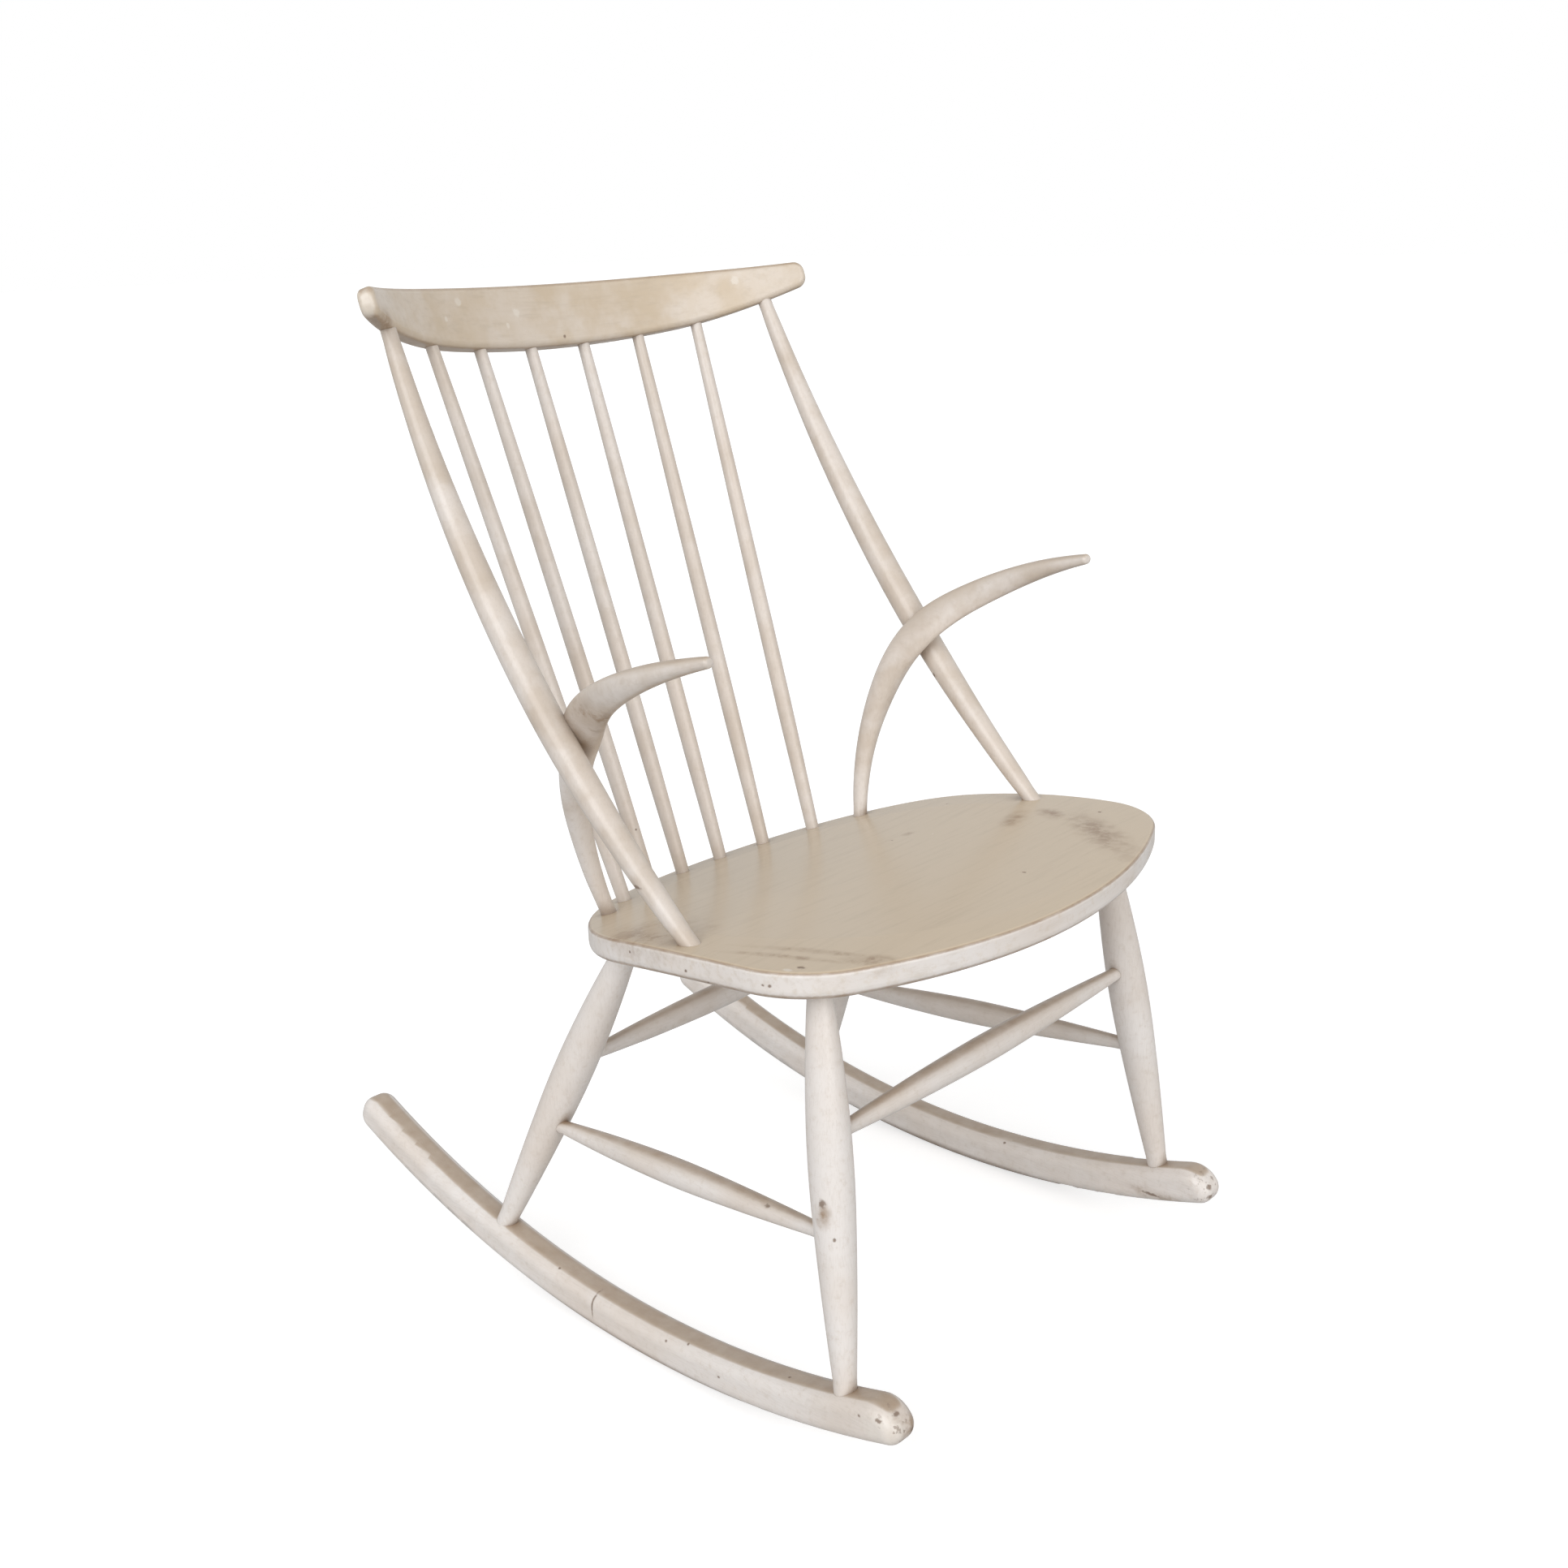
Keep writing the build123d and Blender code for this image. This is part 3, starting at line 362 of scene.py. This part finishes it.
def chip_mask(graph, place, wear):
    """Specks by chance, dents where the piece is battered, and the chips in their places."""
    cells = graph.add("ShaderNodeTexVoronoi",
                      {"Vector": place, "Scale": SPECK_CELLS, "Randomness": 1.0}, feature="F1")
    pick = graph.add("ShaderNodeSeparateColor", {0: cells.outputs["Color"]}).outputs
    reach = graph.line(pick[1], 0.11, 0.03)
    dot = graph.step(graph.sum("DIVIDE", cells.outputs["Distance"], reach), 1.0, 0.55)
    often = graph.times(graph.cloud(place, SPECK_AREAS), wear.specks * SPECK_CHANCE)
    if wear.battered:
        blows = mark_mask(graph, place, wear.battered, edge=0.5)
        often = graph.line(blows, BLOW_CHANCE, often)
    chip = graph.times(dot, graph.sum("LESS_THAN", pick[0], often), SPECK_SHARE)
    if wear.battered:
        dents = graph.times(blows, graph.cloud(place, DENTS), DENT_SHARE)
        chip = graph.sum("MAXIMUM", chip, dents)
    if wear.chips:
        chosen = mark_mask(graph, place, wear.chips, edge=0.5, raggedness=2.0, fineness=330)
        chip = graph.sum("MAXIMUM", chip, graph.times(chosen, CHIP_SHARE))
    return chip


def new_paint(name, paint, wear):
    """Worn enamel: clouds, yellowing, dust and painted shade on top, grime and painted shade in
    nooks, painted shade on edges, grain, specks and marks.
    """
    graph = Graph(name)
    texture = graph.add("ShaderNodeTexCoord")
    place = texture.outputs["Object"]
    normal = graph.add("ShaderNodeSeparateXYZ", {0: texture.outputs["Normal"]}).outputs
    facing = facing_up(graph, normal, wear.bar)
    mottle = graph.line(graph.haze(place, MOTTLE), 0.9, 0.55)
    streaks = graph.haze(graph.mapped(place, wear.grain), STREAKS)
    tone = aged_and_shaded_tone(graph, place, facing, mottle, streaks, paint, wear)
    tone = dirt_and_shade_tone(graph, place, facing, tone, paint, wear)
    chip = chip_mask(graph, place, wear)
    tone = graph.mix(chip, tone, paint.wood)

    height = graph.sum("ADD", graph.times(streaks, STREAK_HEIGHT),
                       graph.times(graph.haze(place, GRIT), GRIT_HEIGHT))
    height = graph.sum("SUBTRACT", height, graph.times(chip, CHIP_DEPTH))
    bump = graph.add("ShaderNodeBump", {"Height": height, "Strength": BUMP, "Distance": 1.0})
    rough = graph.sum("ADD", graph.times(chip, CHIP_ROUGHNESS),
                      graph.times(mottle, MOTTLE_ROUGHNESS))
    rough = graph.sum("ADD", rough, paint.roughness, clamp=True)
    shader = graph.add("ShaderNodeBsdfPrincipled",
                       {"Base Color": tone, "Roughness": rough, "Normal": bump.outputs[0]})
    graph.add("ShaderNodeOutputMaterial", {"Surface": shader.outputs[0]})
    return graph.material


def dress(names, material):
    """Gives CAD nodes a material."""
    for name in names:
        mesh = NODES[name].data
        mesh.materials.clear()
        mesh.materials.append(material)


def named(*beginnings):
    """Names of the nodes that begin with any of the words."""
    return [name for name in sorted(NODES) if name.startswith(beginnings)]


class CHAIR_OT_paint_turnings(bpy.types.Operator):
    """Paints the spindles, posts, legs and stretchers"""

    bl_idname = "chair.paint_turnings"
    bl_label = "Paint turnings"

    def execute(self, context):
        paint = context.scene.chair_paint
        post_chips = (*spots("back_post_right", (2, 4, 1.6), (-260, -95, 475)),
                      *spots("back_post_left", (2.5, 3, 3), (240, -20, 545)))
        # posts and spindles: dust and painted shade on what faces up, grime and painted shade in
        # the nooks
        posts = Wear(yellowed=0.35, patched=0.5, nooks=0.3,
                     settled=0.5, top_shade_from=0.3, top_shade_full=0.9,
                     grain=(60, 60, 7), specks=0.3, chips=post_chips,
                     smears=spots("back_post_right", (5, 5, 6), (-260, -90, 475)))
        dress(named("back_post"), new_paint("turned_paint", paint, posts))
        spindles = posts._replace(patched=0.3, nooks=0.15, settled=0.3, chips=(), smears=())
        dress(named("back_spindle"), new_paint("spindle_paint", paint, spindles))
        leg_chips = (*spots("front_leg_right", (2.5, 3, 4), (-250, -285, 240)),
                     *spots("front_leg_right", (1.2, 1.4, 1.6), (-245, -295, 210)))
        # legs: dust and painted shade on what faces up, grime and painted shade in the nooks
        legs = Wear(yellowed=0.0, patched=0.15,
                    settled=0.5, top_shade_from=0.4, top_shade_full=0.95,
                    grain=(60, 60, 7), specks=0.4, chips=leg_chips,
                    smears=spots("front_leg_right", (5, 6, 8), (-245, -285, 230)))
        dress(named("front_leg", "rear_leg"), new_paint("leg_paint", paint, legs))
        # stretchers: painted shade on their rounded top and bottom edges as well
        across = legs._replace(grain=(7, 60, 60), yellowed=0.1, rim=(0.7, 0.75, 1.0, 2),
                               chips=(), smears=())
        dress(("front_stretcher", "rear_stretcher"), new_paint("cross_paint", paint, across))
        along = across._replace(grain=(60, 7, 60), chips=spots("side_stretcher_right",
                                                               (2, 2.5, 2), (-235, -210, 205)))
        dress(named("side_stretcher"), new_paint("side_paint", paint, along))
        return {"FINISHED"}


class CHAIR_OT_paint_arms(bpy.types.Operator):
    """Paints the arms, browner where the hands rest, with dust and painted shade on top and
    painted shade underneath
    """

    bl_idname = "chair.paint_arms"
    bl_label = "Paint arms"

    def execute(self, context):
        # dust and painted shade on the tops, painted shade on the rounded upper and lower edges
        wear = Wear(yellowed=0.25, patched=0.5, settled=1.0, top_shade_from=0.25, top_shade_full=0.85,
                    rim=(0.5, 0.6, 1.0, 2), grain=(60, 9, 12), specks=0.15,
                    smears=spots("arm_right", (16, 34, 16), (-250, -45, 610)))
        dress(named("arm_"), new_paint("arm_paint", context.scene.chair_paint, wear))
        return {"FINISHED"}


class CHAIR_OT_paint_crest(bpy.types.Operator):
    """Paints the crest rail, yellowed all over and rubbed at its end"""

    bl_idname = "chair.paint_crest"
    bl_label = "Paint crest rail"

    def execute(self, context):
        crest = "crest_rail"
        rubs = (*spots(crest, (4, 4.5, 4), (-125, 260, 940), (-50, 270, 925), (215, 225, 945)),
                *spots(crest, (2, 4, 2.5), (-150, 250, 925), (-65, 260, 915)),
                *spots(crest, (5, 8, 19), (-285, 180, 945)))
        # dust and painted shade on what faces up, painted shade on the rounded top and bottom
        # edges
        wear = Wear(yellowed=0.6, patched=0.35, settled=0.4, top_shade_from=0.4, top_shade_full=0.95,
                    warmth=0.9, figure=0.28, rim=(0.75, 0.45, 0.85, 2),
                    grain=(1.5, 16, 16), specks=0.06, rubs=rubs,
                    chips=spots(crest, (1.6, 2, 1.4), (5, 260, 900)),
                    smears=spots(crest, (12, 12, 9), (-260, 190, 925)))
        dress([crest], new_paint("crest_paint", context.scene.chair_paint, wear))
        return {"FINISHED"}


class CHAIR_OT_paint_seat(bpy.types.Operator):
    """Paints the seat, with brown dirt round the front of its dish"""

    bl_idname = "chair.paint_seat"
    bl_label = "Paint seat"

    def execute(self, context):
        seat = "seat"
        pinholes = spots(seat, (1.3, 1.4, 1.2), (-265, -85, 415), (-270, -160, 420),
                         (-270, -185, 415), (-270, -245, 430), (-265, -250, 430))
        chips = (*pinholes, *spots(seat, (2, 3, 3), (-245, -265, 445)),
                 *spots(seat, (1.5, 2, 2), (230, -235, 440), (45, -275, 440)))
        dish_line = (*spots(seat, (52, 4, 8), (-210, -255, 440), turn=-71),
                     *spots(seat, (40, 3.5, 8), (-235, -235, 440), turn=-72),
                     *spots(seat, (18, 8, 8), (-200, -300, 445), turn=-60),
                     *spots(seat, (56, 15, 9), (175, -270, 445), turn=55))
        patches = (*spots(seat, (18, 9, 8), (180, -170, 435), turn=20),
                   *spots(seat, (16, 9, 8), (205, -195, 440), turn=60),
                   *spots(seat, (6, 4, 5), (110, -90, 420)),
                   *spots(seat, (30, 46, 12), (-240, -85, 420), turn=10))
        # browner top as dust and painted shade, painted shade on the sloping faces of the dish
        # and the rounded edges
        wear = Wear(yellowed=0.0, patched=0.1, settled=1.3, top_shade_from=0.65, top_shade_full=0.93,
                    warmth=1.0, figure=0.28, rim=(0.9, 0.3, 0.6, 0.78),
                    grain=(1.2, 14, 14), specks=0.3, chips=chips, smears=dish_line + patches,
                    rubs=spots(seat, (2.5, 4, 3), (-255, -260, 445)))
        dress([seat], new_paint("seat_paint", context.scene.chair_paint, wear))
        return {"FINISHED"}


class CHAIR_OT_paint_rockers(bpy.types.Operator):
    """Paints the rockers, chipped at their front tips and cracked on one side"""

    bl_idname = "chair.paint_rockers"
    bl_label = "Paint rockers"

    def execute(self, context):
        right, left = "rocker_right", "rocker_left"
        crack = spots(right, (16, 1.1, 13), (-260, 0, 30))
        nicks = (*spots(right, (1.2, 1.5, 1.2), (-265, -335, 70), (-250, -245, 60),
                        (-250, 55, 40), (-260, -100, 35), (-255, -125, 40), (-260, -170, 30)),
                 *spots(left, (1.2, 1.5, 1.2), (230, -125, 40)))
        dents = (*spots(right, (3, 2.5, 1.6), (-265, -355, 75), (-250, -365, 80)),
                 *spots(right, (3, 3, 4), (-240, -370, 60)),
                 *spots(left, (3, 3, 3), (240, -370, 70), (240, -370, 60)),
                 *spots(left, (2, 9, 1.6), (230, -310, 45)))
        smears = (*spots(left, (8, 24, 6), (230, -315, 45)),
                  *spots(right, (12, 12, 12), (-245, -370, 70)))
        battered = (*spots(right, (24, 24, 22), (-250, -370, 70)),
                    *spots(left, (24, 24, 22), (245, -370, 65)))
        # browner top as dust and painted shade, painted shade along the rounded top edge
        wear = Wear(yellowed=0.0, patched=0.2, settled=0.9, top_shade_from=0.8, top_shade_full=1.0,
                    rim=(0.6, 0.86, 1.0, 2), bar=True, grain=(60, 6, 60), specks=0.6,
                    chips=crack + dents + nicks, smears=smears, battered=battered,
                    rubs=spots(right, (18, 22, 14), (-260, -360, 65)))
        dress(named("rocker"), new_paint("rocker_paint", context.scene.chair_paint, wear))
        return {"FINISHED"}


def outward(azimuth, elevation):
    """Direction from the chair to an azimuth and elevation in radians."""
    return Vector((sin(azimuth) * cos(elevation), -cos(azimuth) * cos(elevation),
                   sin(elevation)))


def add_sun(name, lamp, strength):
    """Distant soft lamp that shines from its azimuth and elevation."""
    light = bpy.data.lights.new(name, "SUN")
    light.energy = strength
    light.angle = radians(lamp.softness)
    light.color = lamp.tint
    sun = bpy.data.objects.new(name, light)
    back = outward(radians(lamp.azimuth), radians(lamp.elevation))
    sun.rotation_euler = (-back).to_track_quat("-Z", "Y").to_euler()
    bpy.context.scene.collection.objects.link(sun)


def floor_material():
    """Pale floor that shows white where nothing shades it."""
    graph = Graph("floor_paint")
    shader = graph.add("ShaderNodeBsdfPrincipled",
                       {"Base Color": (FLOOR_COLOUR, FLOOR_COLOUR, FLOOR_COLOUR, 1),
                        "Roughness": FLOOR_ROUGHNESS, "Specular IOR Level": 0.0})
    path = graph.add("ShaderNodeLightPath")
    light = graph.add("ShaderNodeEmission",
                      {"Color": (1, 1, 1, 1),
                       "Strength": graph.times(path.outputs["Is Camera Ray"], FLOOR_GLOW)})
    both = graph.add("ShaderNodeAddShader", {0: shader.outputs[0], 1: light.outputs[0]})
    graph.add("ShaderNodeOutputMaterial", {"Surface": both.outputs[0]})
    return graph.material


def add_floor():
    """Level square under the rockers."""
    mesh = bpy.data.meshes.new("floor")
    corners = [(FLOOR_REACH * x, FLOOR_REACH * y, 0)
               for x, y in ((-1, -1), (1, -1), (1, 1), (-1, 1))]
    mesh.from_pydata(corners, [], [(0, 1, 2, 3)])
    mesh.materials.append(floor_material())
    floor = bpy.data.objects.new("floor", mesh)
    bpy.context.scene.collection.objects.link(floor)


def add_world(room, sheen):
    """Even white room: brighter where gloss mirrors it, pure white where the camera sees it."""
    world = bpy.data.worlds.new("room")
    world.use_nodes = True
    graph = Graph("", world.node_tree)
    path = graph.add("ShaderNodeLightPath").outputs
    mirrored = graph.line(path["Is Glossy Ray"], sheen - room, room)
    level = graph.sum("MAXIMUM", path["Is Camera Ray"], mirrored)
    sky = graph.add("ShaderNodeBackground", {"Color": (1, 1, 1, 1), "Strength": level})
    graph.add("ShaderNodeOutputWorld", {"Surface": sky.outputs[0]})
    bpy.context.scene.world = world


def add_camera(stage):
    """Camera on a sphere round its target, rolled about its line of sight."""
    data = bpy.data.cameras.new("camera")
    data.lens = stage.lens
    data.clip_start = NEAREST_VIEW
    camera = bpy.data.objects.new("camera", data)
    back = outward(stage.azimuth, stage.elevation)
    aim = (-back).to_track_quat("-Z", "Y").to_matrix()
    camera.matrix_world = (Matrix.Translation(Vector(stage.target) + back * stage.distance)
                           @ (aim @ Matrix.Rotation(stage.roll, 3, "Z")).to_4x4())
    bpy.context.scene.collection.objects.link(camera)
    bpy.context.scene.camera = camera


class CHAIR_OT_set_stage(bpy.types.Operator):
    """Adds the floor, the soft lamps, the room light and the camera"""

    bl_idname = "chair.set_stage"
    bl_label = "Set stage"

    def execute(self, context):
        stage = context.scene.chair_stage
        add_floor()
        add_world(stage.room, stage.sheen)
        add_sun("key", KEY, stage.key)
        add_sun("fill", FILL, stage.fill)
        add_camera(stage)
        context.scene.view_settings.view_transform = "Standard"
        return {"FINISHED"}


STEPS = (CHAIR_OT_paint_turnings, CHAIR_OT_paint_arms, CHAIR_OT_paint_crest,
         CHAIR_OT_paint_seat, CHAIR_OT_paint_rockers, CHAIR_OT_set_stage)


class CHAIR_PT_panel(bpy.types.Panel):
    """Lists the steps in the sidebar"""

    bl_idname = "CHAIR_PT_panel"
    bl_label = "Rocking Chair"
    bl_space_type = "VIEW_3D"
    bl_region_type = "UI"
    bl_category = "Rocking Chair"

    def draw(self, context):
        for step in STEPS:
            self.layout.operator(step.bl_idname)
        for settings in (context.scene.chair_paint, context.scene.chair_stage):
            column = self.layout.column()
            for key in settings.__annotations__:
                column.prop(settings, key)


CLASSES = (ChairPaint, ChairStage, *STEPS, CHAIR_PT_panel)


def register():
    """Registers the classes and the settings."""
    for each in CLASSES:
        bpy.utils.register_class(each)
    bpy.types.Scene.chair_paint = PointerProperty(type=ChairPaint)
    bpy.types.Scene.chair_stage = PointerProperty(type=ChairStage)


def unregister():
    """Removes the settings and the classes."""
    del bpy.types.Scene.chair_stage
    del bpy.types.Scene.chair_paint
    for each in reversed(CLASSES):
        bpy.utils.unregister_class(each)


def main():
    """Dresses the chair and sets the stage."""
    register()
    for step in STEPS:
        group, action = step.bl_idname.split(".")
        getattr(getattr(bpy.ops, group), action)()


if __name__ == "__main__":
    main()
